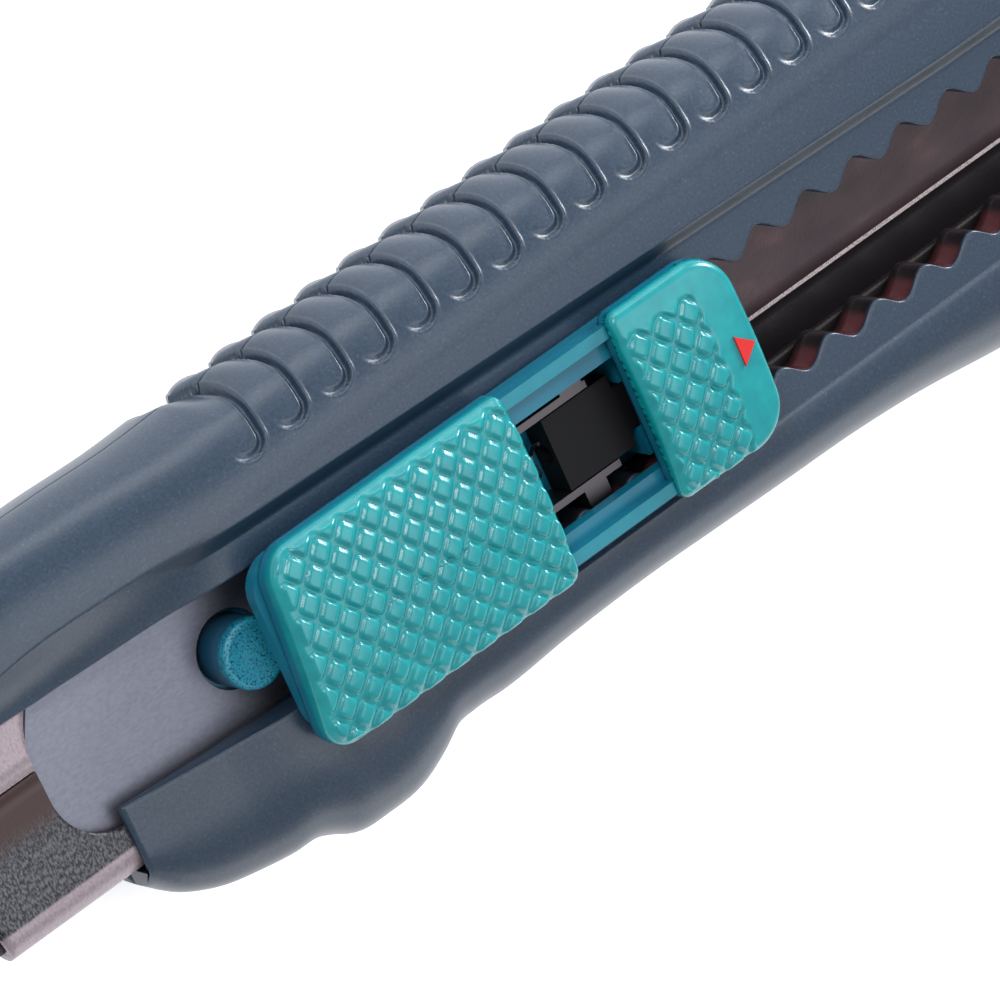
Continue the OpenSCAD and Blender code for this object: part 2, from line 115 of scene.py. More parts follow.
def to_frame(points):
    """Points of the drawing frame, in millimetres, as frame points in metres."""
    return (np.asarray(points, float) + np.array(OFFSET)) * MM


def smooth01(t):
    """Soft step from 0 to 1."""
    t = np.clip(t, 0, 1)
    return t * t * (3 - 2 * t)


def hermite(points, x):
    """Smooth curve through outline points, as y at each x."""
    px = np.array([p[0] for p in points], float)
    py = np.array([p[1] for p in points], float)
    slope = np.gradient(py, px)
    i = np.clip(np.searchsorted(px, x) - 1, 0, len(px) - 2)
    h = px[i + 1] - px[i]
    t = np.clip((x - px[i]) / h, 0, 1)
    return ((2 * t**3 - 3 * t**2 + 1) * py[i] + (t**3 - 2 * t**2 + t) * h * slope[i]
            + (-2 * t**3 + 3 * t**2) * py[i + 1] + (t**3 - t**2) * h * slope[i + 1])


# ---------------------------------------------------------------- meshes

def set_smooth(obj, smooth=True):
    """Smooth or flat shading for all faces."""
    obj.data.polygons.foreach_set("use_smooth", [smooth] * len(obj.data.polygons))


def new_object(name, verts, faces, smooth=True):
    mesh = bpy.data.meshes.new(name)
    mesh.from_pydata([tuple(v) for v in verts], [], faces)
    mesh.validate()
    obj = bpy.data.objects.new(name, mesh)
    bpy.context.scene.collection.objects.link(obj)
    set_smooth(obj, smooth)
    return obj


def clean(obj, distance):
    """Merge points closer than the distance, in metres, and turn all faces outwards."""
    bm = bmesh.new()
    bm.from_mesh(obj.data)
    bmesh.ops.remove_doubles(bm, verts=bm.verts, dist=distance)
    bmesh.ops.dissolve_degenerate(bm, edges=bm.edges, dist=distance / 4)
    bmesh.ops.recalc_face_normals(bm, faces=bm.faces)
    bm.to_mesh(obj.data)
    bm.free()
    set_smooth(obj)
    return obj


def loft(name, rings):
    """Solid skinned over rings of points in the drawing frame; rings is an array [ring, point, xyz]."""
    rings = np.asarray(rings, float)
    rows, cols = rings.shape[:2]
    faces = []
    for i in range(rows - 1):
        for j in range(cols):
            a, b = i * cols + j, i * cols + (j + 1) % cols
            faces.append((a, b, b + cols, a + cols))
    faces.append(tuple(range(cols))[::-1])
    faces.append(tuple(range((rows - 1) * cols, rows * cols)))
    return new_object(name, to_frame(rings.reshape(-1, 3)), faces)


# ---------------------------------------------------------------- the body's form

def spine_at(x):
    """Crown of the spine at x, on the ribs' tops."""
    return float(hermite(SPINE, np.array(x)))


def edge_level(x):
    """Level of the slot's top edge: it ramps up behind the nose."""
    return np.interp(x, [11, 13.5, 29, 33], [9.75, 9.95, 12.35, TRACK_Z])


def slot_edge(x, side):
    """Half width of the slot at x, to the spine (side 1) or to the belly (side -1)."""
    shift, lobe, depth, plain_x, plain_half = SLOT_SIDES[side]
    fade, before_first, after_last = 0.8, 2.4, 3.6
    wave = 0.5 + 0.5 * np.cos(2 * np.pi * (x - SCALLOP_X0 - shift) / SCALLOP_PITCH)
    start = smooth01((x - SCALLOP_X0 + before_first) / fade)
    stop = smooth01((SLOT_X1 - after_last - x) / fade)
    half = np.interp(x, plain_x, plain_half) * (1 - start) + (lobe + depth * wave * stop) * start
    end_x = SLOT_X1 - SLOT_END_R
    end = np.sqrt(np.clip(SLOT_END_R**2 - (x - end_x) ** 2, 0, None))
    return np.where(x > end_x, np.minimum(half, end), half)


def groove_x(s):
    """Sideways course of a groove at arc length s: it leans back, and turns on the back half."""
    start, turn = 0.42, 1.3
    front = start + 0.28 * s - 0.04 * s**2
    back = start - 1.25 * np.minimum(-s, turn) + 0.4 * np.clip(-s - turn, 0, None)
    return np.where(s >= 0, front, back)


def groove_profile(d):
    """Depth across a groove: a flat floor, steep sides and a low lip along either edge."""
    d = np.abs(d)
    half, wall = 0.3, 0.2
    lip, lip_at, lip_width = 0.26, 0.38, 0.08
    return smooth01((half - d) / wall) - lip * np.exp(-((d - lip_at) / lip_width) ** 2)


def groove_lines(x, s):
    """Depth of the grooves between the grip ribs, 0 to 1; each ends in a hook towards the nose."""
    reach_x = float(groove_x(np.array(GROOVE_REACH)))
    local = x - RIB_X0
    index = np.clip(np.round((local - groove_x(s)) / RIB_PITCH), 0, RIB_COUNT)
    straight = local - groove_x(s) - index * RIB_PITCH
    depth = np.where((s <= GROOVE_REACH) & (s > GROOVE_REACH_BACK), groove_profile(straight), 0.0)
    past = s - GROOVE_REACH
    for shift in (0, 1):
        i = np.clip(np.round((local - reach_x) / RIB_PITCH) + shift, 0, RIB_COUNT)
        dx = local - i * RIB_PITCH - reach_x + HOOK_R
        fade = 1 - smooth01((np.arctan2(past, dx) - 1.0) / 2.0)
        hook = fade * groove_profile(np.hypot(dx, past) - HOOK_R)
        depth = np.where((past > 0) & (np.abs(hook) > np.abs(depth)), hook, depth)
    return depth


def rib_height(x, s):
    """Height of the surface over the ribs' crowns, so 0 or less: a steep rise, a round top, then a groove."""
    from_first = x - RIB_X0 - groove_x(s)
    t = (from_first / RIB_PITCH) % 1.0
    inside = smooth01((from_first + 3.0) / 3.0) * smooth01((RIB_X1 + 0.3 * RIB_PITCH - x) / 1.5)
    crown = np.where(from_first < 0, 0.12, np.sin(np.pi * t**0.8) ** 0.6)
    # The dips between crowns are full on the back half, shallow on the front face, and fade out on both faces
    side = 0.22 + 0.78 * (1 - smooth01((s - 0.6) / 4.0))
    side = side * (1 - smooth01((np.abs(s) - 5.2) / 3.0))
    grooved = x < RIB_X1 + 3
    return inside * RIB_RISE * side * (crown - 1) - GROOVE_DEPTH * groove_lines(x, s) * grooved


def track_edge(x):
    """Spine edge of the sunk track: it runs slightly towards the slot."""
    return np.interp(x, [10, 24, 90, 140], [7.3, 6.95, 5.3, 5.0])


def recess(x, y):
    """1 inside the sunk track beside the slot, 0 outside; its rim is soft to the spine, crisp to the belly."""
    top, low, corner, end_x = track_edge(x), -9.3, 4, SLOT_X1 + 3
    mid, half = (top + low) / 2, (top - low) / 2
    dx = x - (end_x - corner)
    dy = np.abs(y - mid) - (half - corner)
    dist = np.where((dx > 0) & (dy > 0), np.hypot(dx, dy), np.maximum(dx, dy)) - corner
    rim = np.where(y > mid, 0.55, 0.13)
    t = np.clip(0.5 - dist / (2 * rim), 0, 1)
    return 0.75 * t + 0.25 * smooth01(t)


def face_level(x, y):
    """Level of the front face: a slope at the nose that turns into the sunk track behind it."""
    spine_side = y > TRACK_Y
    ramp = edge_level(x)
    full = FACE_Z - 0.012 * np.clip(y - 6, 0, None) ** 2
    slope = ramp + (full - ramp) * smooth01((y - 3.6) / 7.6)
    at_nose = np.where(spine_side, slope, ramp)
    belly_face = ramp + 0.3 * smooth01((x - 26) / 8)
    deep = recess(x, y)
    behind = np.where(spine_side, full, belly_face) * (1 - deep) + TRACK_Z * deep
    share = smooth01((x - 21) / 9)
    return at_nose * (1 - share) + behind * share


def cluster(a, b, count, centre, sharp):
    """Positions from a to b, closer together near the centre."""
    x = a + (b - a) * np.linspace(0, 1, 2000)
    cdf = np.cumsum(1.0 + sharp * np.exp(-((x - centre) / 0.5) ** 2))
    cdf = (cdf - cdf[0]) / (cdf[-1] - cdf[0])
    return np.interp(np.linspace(0, 1, count), cdf, x)


def stations(x0, x1):
    """Places along x, closer together over the ribs and at the slot's end."""
    ribs_x0, ribs_x1, end_l = RIB_X0 - 4, RIB_X1 + 3, 5
    parts = [np.arange(x0, ribs_x0, 0.35), np.arange(ribs_x0, ribs_x1, 0.1),
             np.arange(ribs_x1, SLOT_X1 - end_l, 0.3),
             SLOT_X1 - end_l + end_l * np.sin(np.linspace(0, np.pi / 2, 40)),
             np.arange(SLOT_X1 + 0.3, x1, 0.35), [x1]]
    x = np.unique(np.concatenate([np.asarray(p) for p in parts]))
    return x[(x >= x0) & (x <= x1)]


def slot_wall(x, side):
    """The slot's wall at x up to its rounded top edge: points, the wall's foot and where the face begins."""
    half = float(slot_edge(np.array(x), side))
    y_wall = TRACK_Y + side * half
    fillet = FILLET * min(1, half / 0.6 + 0.05)
    y_face = y_wall + side * fillet
    z_face = face_level(np.array([x]), np.array([y_face]))[0]
    low = min(WALL_LOW, z_face - 0.2)
    points = [(y_wall, low + (z_face - fillet - low) * t) for t in (0, 0.33, 0.67, 1)]
    points += [(y_wall + side * fillet * (1 - math.cos(a)), z_face - fillet * (1 - math.sin(a)))
               for a in (0.4, 0.8, 1.2)]
    return points, low, y_face


def ribbed_round(x, theta, side):
    """Radius of the spine's rounding at angles from the parting line, front half (1) or back half (-1)."""
    s = side * SPINE_R * theta
    return SPINE_R + rib_height(np.full_like(s, x), s)


def spine_strip():
    """Rings of the front half from the slot's wall over the face and round to the parting line."""
    rings = []
    track_rim_y = 6.7
    for x in stations(NOSE_X_SPINE, BODY_X1):
        ring, low, y_face = slot_wall(x, 1)
        centre = spine_at(x) - SPINE_R
        ys = cluster(y_face, centre, 46, track_rim_y, 3)
        zs = face_level(np.full_like(ys, x), ys)
        lift = rib_height(np.full_like(ys, x), SPINE_R * np.pi / 2 + (centre - ys))
        ring += list(zip(ys, zs + lift))
        theta = np.linspace(np.pi / 2, 0.02, 58)[1:]
        r = ribbed_round(x, theta, 1)
        z_scale = (zs[-1] - PARTING_Z) / SPINE_R
        ring += list(zip(centre + r * np.cos(theta), PARTING_Z + r * z_scale * np.sin(theta)))
        ring += [(centre + r[-1] - 3 * HAIR, PARTING_Z + 1.5 * HAIR), (LINING_HALF, PARTING_Z + HAIR),
                 (LINING_HALF, low)]
        rings.append([(x, y, z) for y, z in ring])
    return rings


def belly_strip():
    """Rings of the front half from the slot's wall over the belly side to the parting line."""
    rings = []
    track_rim_y = -8.9
    for x in stations(NOSE_X_BELLY, BODY_X1):
        ring, low, y_face = slot_wall(x, -1)
        low_y = float(hermite(BELLY, np.array(x)))
        y_round = -8.6 - 0.9 * smooth01((x - 24) / 9)
        ys = cluster(y_face, y_round, 34, track_rim_y, 8)
        zs = face_level(np.full_like(ys, x), ys)
        ring += list(zip(ys, zs))
        theta = np.linspace(np.pi / 2, 0, 34)[1:-1]
        ring += list(zip(ys[-1] - (ys[-1] - low_y) * np.cos(theta) ** ROUND_POWER,
                         PARTING_Z + (zs[-1] - PARTING_Z) * np.sin(theta) ** ROUND_POWER))
        ring += [(low_y, PARTING_Z + HAIR), (min(low_y + 1.2, -LINING_HALF - 0.05), PARTING_Z + HAIR),
                 (-LINING_HALF, PARTING_Z + HAIR), (-LINING_HALF, low)]
        rings.append([(x, y, z) for y, z in ring])
    return rings


def nose_shift(x, y):
    """The halves end further back on the belly side of the nose than on the spine side."""
    side = 1 - smooth01((y + 4.0) / 4.5)
    return x + (NOSE_X_BELLY - NOSE_X_SPINE) * side * np.clip(1 - (x - NOSE_X_SPINE) / 20, 0, 1)


def back_rings():
    """Rings of the back half, from the spine's parting line under the back face to the belly's."""
    rings = []
    floor_z = 5.9
    for x in stations(NOSE_X_SPINE, BODY_X1):
        low_y = float(hermite(BELLY, nose_shift(x, -12.0)))
        centre = spine_at(x) - SPINE_R
        theta = np.linspace(0.02, np.pi / 2, 50)
        r = ribbed_round(x, theta, -1)
        ring = [(centre + r[0] - 1.2, PARTING_Z - HAIR), (centre + r[0] - 3 * HAIR, PARTING_Z - 1.5 * HAIR)]
        ring += list(zip(centre + r * np.cos(theta),
                         PARTING_Z - PARTING_Z / SPINE_R * np.minimum(r, SPINE_R) * np.sin(theta)))
        y_start = low_y + BACK_ROUND
        ring += [(y, 0.0) for y in np.linspace(centre, y_start, 14)[1:]]
        theta = np.linspace(np.pi / 2, 0, 22)[1:]
        ring += list(zip(y_start - BACK_ROUND * np.cos(theta) ** ROUND_POWER,
                         PARTING_Z - PARTING_Z * np.sin(theta) ** ROUND_POWER))
        ring += [(min(low_y + 1.0, -LINING_HALF - 0.02), PARTING_Z - 2 * HAIR),
                 (-LINING_HALF, PARTING_Z - 3 * HAIR), (-LINING_HALF, floor_z), (LINING_HALF, floor_z),
                 (LINING_HALF, PARTING_Z - 3 * HAIR)]
        y, z = np.array(ring).T
        rings.append(np.column_stack([nose_shift(np.full_like(y, x), y), y, z]))
    return rings


def make_shells():
    """The front half from its two strips, and the back half with its screw holes."""
    front = loft("front_half", spine_strip())
    join(front, [loft("front_half_belly_side", belly_strip())])
    back = loft("back_half", back_rings())
    clean(front, 0.00001)
    clean(back, 0.00001)
    for x, y in SCREWS:
        bore(back, x, y, -1, 3.6, SCREW_HOLE_R)
    return front, back


def cut(target, cutter):
    """Take the cutter's volume out of the target."""
    modifier = target.modifiers.new("cut", "BOOLEAN")
    modifier.operation = "DIFFERENCE"
    modifier.solver = "EXACT"
    modifier.object = cutter
    bpy.context.view_layer.update()
    mesh = bpy.data.meshes.new_from_object(target.evaluated_get(bpy.context.evaluated_depsgraph_get()))
    target.modifiers.clear()
    target.data = mesh
    bpy.data.objects.remove(cutter)


def bore(target, x, y, z0, z1, r):
    """Round hole cut into the target between two levels."""
    cut(target, turned("cutter", x, y, [(r, z0), (r, z1)], 40))


def join(target, others):
    """Merge pieces into the target mesh."""
    bm = bmesh.new()
    for obj in [target] + others:
        bm.from_mesh(obj.data)
    bm.to_mesh(target.data)
    bm.free()
    set_smooth(target)
    for obj in others:
        bpy.data.objects.remove(obj)


# ---------------------------------------------------------------- knurled pieces

def rounded_outline(x0, x1, y0, y1, r0, r1, count):
    """About count points round a rectangle whose corners have radius r0 at x0 and r1 at x1."""
    r0, r1 = max(r0, 0.02), max(r1, 0.02)
    corners = [(x1 - r1, y1 - r1, r1, 0), (x0 + r0, y1 - r0, r0, 90), (x0 + r0, y0 + r0, r0, 180),
               (x1 - r1, y0 + r1, r1, 270)]
    per_corner = count // 10
    points = []
    for i, (cx, cy, r, a0) in enumerate(corners):
        for a in np.linspace(a0, a0 + 90, per_corner, endpoint=False):
            points.append((cx + r * math.cos(math.radians(a)), cy + r * math.sin(math.radians(a))))
        nx, ny, nr, _ = corners[(i + 1) % 4]
        a1 = math.radians(a0 + 90)
        start = (cx + r * math.cos(a1), cy + r * math.sin(a1))
        end = (nx + nr * math.cos(a1), ny + nr * math.sin(a1))
        steps = count // 4 - per_corner
        points += [(start[0] + (end[0] - start[0]) * t, start[1] + (end[1] - start[1]) * t)
                   for t in np.arange(steps) / steps]
    return np.array(points)


def knurl(x, y):
    """Height of raised cells in crossing diagonal rows: 0 in the grooves, 1 on top."""
    a = np.abs(((x / CELL_X + y / CELL_Y) % 1) - 0.5) * 2
    b = np.abs(((x / CELL_X - y / CELL_Y) % 1) - 0.5) * 2
    m = (a**5 + b**5) ** 0.2
    return (1 - smooth01((m - 0.6) / 0.36)) * (1 - 0.25 * m * m)


def knurled_pad(name, x0, x1, z0, z_edge, crown, radii, plain_from=None, lean=0.0):
    """Pad with a rounded rim, a crowned top and raised cells; plain_from leaves a smooth end, and
    lean slants the end that faces the nose.
    """
    y0, y1 = PAD_Y - PAD_W / 2, PAD_Y + PAD_W / 2
    count, step, fillet, cell_rise = 560, 0.12, 0.55, 0.3
    base = rounded_outline(x0, x1, y0, y1, *radii, count)
    rings = [np.column_stack([base, np.full(len(base), z)])
             for z in (z0, z0 + 0.25, (z0 + z_edge) / 2, z_edge - fillet - 0.34)]
    # Rings that step inwards over the rim and the top
    last = min(x1 - x0, PAD_W) / 2 - 0.02
    insets = np.concatenate([fillet * (1 - np.cos(np.linspace(0, np.pi / 2, 7))),
                             np.arange(fillet + step, last, step), [last]])
    for inset in insets:
        ring = rounded_outline(x0 + inset, x1 - inset, y0 + inset, y1 - inset,
                               radii[0] - inset, radii[1] - inset, count)
        x, y = ring[:, 0], ring[:, 1]
        across = np.clip(1 - ((y - PAD_Y) / (PAD_W / 2)) ** 2, 0, 1)
        along = np.clip(1 - ((x - (x0 + x1) / 2) / ((x1 - x0) / 2)) ** 2, 0, 1)
        z = z_edge + crown * across * (0.75 + 0.25 * along)
        drop = fillet - math.sqrt(max(0, fillet**2 - max(0, fillet - inset) ** 2))
        # The cells run out over the rim, except at the nose end and on the spine side
        over_rim = (x > x0 + 2.8) & (y < y1 - 0.9)
        start = np.where(over_rim, 0.0, 0.25)
        rise = cell_rise * knurl(x, y) * smooth01((inset - start) / 0.3 + 0.15 * over_rim)
        if plain_from is not None:
            plain = np.maximum(smooth01((x - plain_from) / 0.5), smooth01((y - y1 + 2.1) / 0.5))
            rise = rise * (1 - plain) + 0.22 * plain
        rings.append(np.column_stack([x, y, z - drop + rise - cell_rise]))
    rings = np.array(rings)
    rings[..., 0] += lean * (rings[..., 1] - PAD_Y) * (x1 - rings[..., 0]) / (x1 - x0)
    return clean(loft(name, rings), 0.000004)


def make_pads():
    """The front pad, the button with its stem down to the lock slide, and the button's triangle."""
    front = knurled_pad("knurled_pad", PAD_X0 + 0.5, PAD_X0 + PAD_L + 0.6, TRAY_TOP_Z + 0.02, 15.7,
                        crown=0.75, radii=(2.2, 0.7), lean=0.09)
    button = knurled_pad("knurled_button", BUTTON_X0, BUTTON_X1, TRAY_TOP_Z + 0.12, 15.6,
                         crown=0.7, radii=(0.8, 3.0), plain_from=BUTTON_X1 - 3.6)
    stem_x0, stem_x1, stem_half, stem_z0 = 58.7, 61.7, 1.1, 10.2
    join(button, [box_piece("button_stem", (stem_x0, TRACK_Y - stem_half, stem_z0),
                            (stem_x1, TRACK_Y + stem_half, TRAY_TOP_Z + 0.5), 0.1)])
    mark_x0, mark_x1, mark_half, mark_top = BUTTON_X1 - 1.95, BUTTON_X1 - 0.58, 1.1, 16.32
    triangle = [(mark_x0, PAD_Y - mark_half), (mark_x0, PAD_Y + mark_half), (mark_x1, PAD_Y)]
    marker = loft("arrow_mark", [[(x, y, z) for x, y in triangle] for z in (mark_top - 0.5, mark_top)])
    set_smooth(marker, False)
    return front, button, marker


def box_piece(name, low, high, bevel):
    """Box between two corners with rounded edges."""
    corners = [(x, y, z) for x in (low[0], high[0]) for y in (low[1], high[1]) for z in (low[2], high[2])]
    faces = [(0, 1, 3, 2), (4, 6, 7, 5), (0, 4, 5, 1), (2, 3, 7, 6), (0, 2, 6, 4), (1, 5, 7, 3)]
    obj = new_object(name, to_frame(corners), faces)
    bm = bmesh.new()
    bm.from_mesh(obj.data)
    bmesh.ops.recalc_face_normals(bm, faces=bm.faces)
    bmesh.ops.bevel(bm, geom=bm.edges[:], offset=bevel * MM, segments=3, profile=0.5, affect="EDGES")
    bm.to_mesh(obj.data)
    bm.free()
    set_smooth(obj)
    return obj


def turned(name, x, y, profile, count=72):
    """Solid of revolution about a vertical axis; profile runs [r, z] from below to the top."""
    a = np.linspace(0, 2 * np.pi, count, endpoint=False)
    rings = [np.column_stack([x + r * np.cos(a), y + r * np.sin(a), np.full(count, z)]) for r, z in profile]
    return clean(loft(name, rings), 0.000002)


def make_holder():
    """Plate under the blade, the thicker part behind it and the pin with its dished top."""
    y0, y1, x1 = -8.9, 8.3, 65.7
    plate = box_piece("blade_holder_plate", (20.8, y0, 7.32), (x1, y1, 8.18), 0.08)
    thick = box_piece("holder_back", (34.4, y0, 8.1), (x1, y1, 8.8), 0.06)
    pin_profile = [(2.35, 8.1), (2.35, 11.3), (2.3, 11.48), (2.15, 11.58), (1.98, 11.6), (1.9, 11.56),
                   (0.6, 11.52), (0.02, 11.52)]
    join(plate, [thick, turned("holder_pin", PAD_X0 - 0.2, -1.3, pin_profile)])
    return plate


def rounded_section(x, half_y, z0, z1, r):
    """Ring across the knife: a rectangle with rounded corners."""
    outline = rounded_outline(-half_y, half_y, z0, z1, r, r, 120)
    return np.column_stack([np.full(len(outline), x), outline])


def make_cap():
    """Tail cap: flared shoulder, rounded end, three tongues, lanyard hole and snapping slit."""
    # Sections as x, half width, lower and upper level and corner radius
    profile = [(148.2, 12.4, 0.9, 12.7, 2.6), (148.4, 12.75, 0.6, 13.0, 2.9), (149.5, 12.8, 0.6, 13.0, 2.9),
               (150.2, 12.4, 0.9, 12.7, 2.8), (150.7, 11.4, 1.5, 12.0, 2.6), (151.1, 10.6, 1.65, 11.6, 2.2),
               (151.6, 10.5, 1.65, 11.55, 2.2), (155.5, 10.5, 1.65, 11.55, 2.2), (157.4, 10.2, 1.65, 11.55, 2.2),
               (158.6, 9.5, 1.75, 11.45, 2.1), (159.4, 8.6, 2.0, 11.2, 1.9), (159.85, 7.6, 2.4, 10.8, 1.6),
               (160.0, 6.9, 2.8, 10.4, 1.4)]
    cap = clean(loft("cap_body", [rounded_section(*p) for p in profile]), 0.000002)
    bore(cap, 154.5, 5.0, -1, 20, 2.5)
    snapping_slit = box_piece("cutter", (153, -9, 6.1), (161, 0.6, 7.1), 0.02)
    cut(cap, snapping_slit)
    tongue_x0, tongue_x1, bevel = 139.4, 149.2, 0.15
    tongues = [box_piece("tongue", (tongue_x0, y - 1.45, 3.9), (tongue_x1, y + 1.45, 5.8), bevel)
               for y in (-6.45, 6.45)]
    tongues.append(box_piece("tongue", (tongue_x0, -7.9, 9.8), (tongue_x1, 7.9, 11.2), bevel))
    join(cap, tongues)
    catch_groove = box_piece("cutter", (142.1, -10, 2.6), (143.9, 10, 4.6), 0.3)
    cut(cap, catch_groove)
    return cap


# ---------------------------------------------------------------- folded channel

def window_edge(x, side):
    """Inner edge of the flange at x: the seam ahead of the window, then the window's side."""
    if x <= WINDOW_X:
        return 0.07
    side_y, r = (6.5, 6.2) if side > 0 else (6.7, 4.4)
    front = side_y - r
    d = min(x - WINDOW_X, r)
    return front + math.sqrt(max(0, r * r - (r - d) ** 2))


def channel_path(x, side):
    """Half of the sheet's middle line: from the flange's inner edge round the bend to the floor."""
    z_top, z_low = FLANGE_Z - SHEET / 2, FLOOR_Z[side]
    r = (z_top - z_low) / 2
    y_bend = CHANNEL_HALF - SHEET / 2 - r
    y_in = min(window_edge(x, side), y_bend - 0.05)
    points = [(y, z_top) for y in np.linspace(y_in, y_bend, 8)]
    points += [(y_bend + r * math.sin(a), z_low + r + r * math.cos(a)) for a in np.linspace(0, np.pi, 13)[1:]]
    return points


def offset_path(points, distance):
    """The path moved sideways by the distance."""
    p = np.array(points)
    d = np.gradient(p, axis=0)
    d /= np.linalg.norm(d, axis=1)[:, None]
    return p + distance * np.column_stack([d[:, 1], -d[:, 0]])


def make_channel():
    """Folded sheet from the belly flange round the stepped floor to the spine flange, slanted at the nose."""
    front_x, back_x, nose_slant = 3.4, 141.5, 0.2309
    rounding = 5 * (1 - np.cos(np.linspace(0.01, np.pi / 2, 16)))
    xs = np.concatenate([np.linspace(front_x, WINDOW_X - 0.02, 12), [WINDOW_X], WINDOW_X + rounding,
                         np.arange(16, 141, 5.0), [back_x]])
    floor = [(y, FLOOR_Z[-1]) for y in np.linspace(-8.0, JOGGLE_Y - 0.15, 6)]
    floor += [(JOGGLE_Y + 0.3, 6.62), (JOGGLE_Y + 0.75, FLOOR_Z[1])]
    floor += [(y, FLOOR_Z[1]) for y in np.linspace(-3.2, 8.0, 8)]
    rings = []
    for x in xs:
        belly_side = [(-y, z) for y, z in channel_path(x, -1)]
        path = belly_side + floor + channel_path(x, 1)[::-1]
        ring = np.vstack([offset_path(path, SHEET / 2), offset_path(path, -SHEET / 2)[::-1]])
        lean = -(ring[:, 0] + CHANNEL_HALF) * nose_slant * np.clip((9.9 - x) / 6.5, 0, 1)
        rings.append(np.column_stack([x + lean, ring]))
    return clean(loft("folded_channel", rings), 0.000002)


# ---------------------------------------------------------------- materials

def material(name, color, roughness, metallic=0.0):
    """New material and its shader."""
    mat = bpy.data.materials.new(name)
    mat.use_nodes = True
    shader = mat.node_tree.nodes["Principled BSDF"]
    shader.inputs["Base Color"].default_value = (*color, 1)
    shader.inputs["Roughness"].default_value = roughness
    shader.inputs["Metallic"].default_value = metallic
    return mat, shader


def add_noise(mat, scale, detail, axes=(1, 1, 1)):
    """Noise over the object's own coordinates, stretched by axes."""
    nodes, links = mat.node_tree.nodes, mat.node_tree.links
    coord = nodes.new("ShaderNodeTexCoord")
    mapping = nodes.new("ShaderNodeMapping")
    mapping.inputs["Scale"].default_value = axes
    noise = nodes.new("ShaderNodeTexNoise")
    noise.inputs["Scale"].default_value = scale
    noise.inputs["Detail"].default_value = detail
    links.new(coord.outputs["Object"], mapping.inputs["Vector"])
    links.new(mapping.outputs["Vector"], noise.inputs["Vector"])
    return noise


def add_bump(mat, noise, strength, distance):
    """Let the noise raise the surface by up to the distance, in metres."""
    nodes, links = mat.node_tree.nodes, mat.node_tree.links
    bump = nodes.new("ShaderNodeBump")
    bump.inputs["Strength"].default_value = strength
    bump.inputs["Distance"].default_value = distance
    links.new(noise.outputs["Fac"], bump.inputs["Height"])
    links.new(bump.outputs["Normal"], nodes["Principled BSDF"].inputs["Normal"])


def color_ramp(mat, noise, stops):
    """The noise as a run of colours; stops are pairs of position and colour."""
    nodes, links = mat.node_tree.nodes, mat.node_tree.links
    ramp = nodes.new("ShaderNodeValToRGB")
    while len(ramp.color_ramp.elements) < len(stops):
        ramp.color_ramp.elements.new(0.5)
    for element, (position, color) in zip(ramp.color_ramp.elements, stops):
        element.position = position
        element.color = (*color, 1)
    links.new(noise.outputs["Fac"], ramp.inputs["Fac"])
    return ramp.outputs["Color"]


def mottle(mat, noise, stops):
    """Let the noise mottle the shader's base colour."""
    color = color_ramp(mat, noise, stops)
    mat.node_tree.links.new(color, mat.node_tree.nodes["Principled BSDF"].inputs["Base Color"])


def drawing_axes(mat):
    """The object's own coordinates in the drawing frame's millimetres, as x, y and z sockets."""
    nodes, links = mat.node_tree.nodes, mat.node_tree.links
    coord = nodes.new("ShaderNodeTexCoord")
    mapping = nodes.new("ShaderNodeMapping")
    mapping.inputs["Scale"].default_value = (1 / MM, 1 / MM, 1 / MM)
    mapping.inputs["Location"].default_value = -OFFSET
    split = nodes.new("ShaderNodeSeparateXYZ")
    links.new(coord.outputs["Object"], mapping.inputs["Vector"])
    links.new(mapping.outputs["Vector"], split.inputs["Vector"])
    return split.outputs


def band(mat, socket, low, high, soft):
    """1 where the socket is between low and high, 0 outside, with edges as wide as soft."""
    nodes, links = mat.node_tree.nodes, mat.node_tree.links
    results = []
    for edge, sign in ((low, 1), (high, -1)):
        node = nodes.new("ShaderNodeMapRange")
        node.interpolation_type = "SMOOTHSTEP"
        node.inputs["From Min"].default_value = edge - soft / 2
        node.inputs["From Max"].default_value = edge + soft / 2
        node.inputs["To Min"].default_value = 0 if sign > 0 else 1
        node.inputs["To Max"].default_value = 1 if sign > 0 else 0
        links.new(socket, node.inputs["Value"])
        results.append(node.outputs["Result"])
    return multiply(mat, *results)


def multiply(mat, *sockets):
    """Product of the sockets' values."""
    nodes, links = mat.node_tree.nodes, mat.node_tree.links
    result = sockets[0]
    for socket in sockets[1:]:
        node = nodes.new("ShaderNodeMath")
        node.operation = "MULTIPLY"
        links.new(result, node.inputs[0])
        links.new(socket, node.inputs[1])
        result = node.outputs["Value"]
    return result


def tint(mat, mask, color):
    """Lay a colour, given as three numbers or as a socket, over a mottled base colour where the mask is 1."""
    nodes, links = mat.node_tree.nodes, mat.node_tree.links
    base = nodes["Principled BSDF"].inputs["Base Color"]
    mix = nodes.new("ShaderNodeMix")
    mix.data_type = "RGBA"
    links.new(mask, mix.inputs["Factor"])
    links.new(base.links[0].from_socket, mix.inputs["A"])
    if isinstance(color, bpy.types.NodeSocket):
        links.new(color, mix.inputs["B"])
    else:
        mix.inputs["B"].default_value = (*color, 1)
    links.new(mix.outputs["Result"], base)


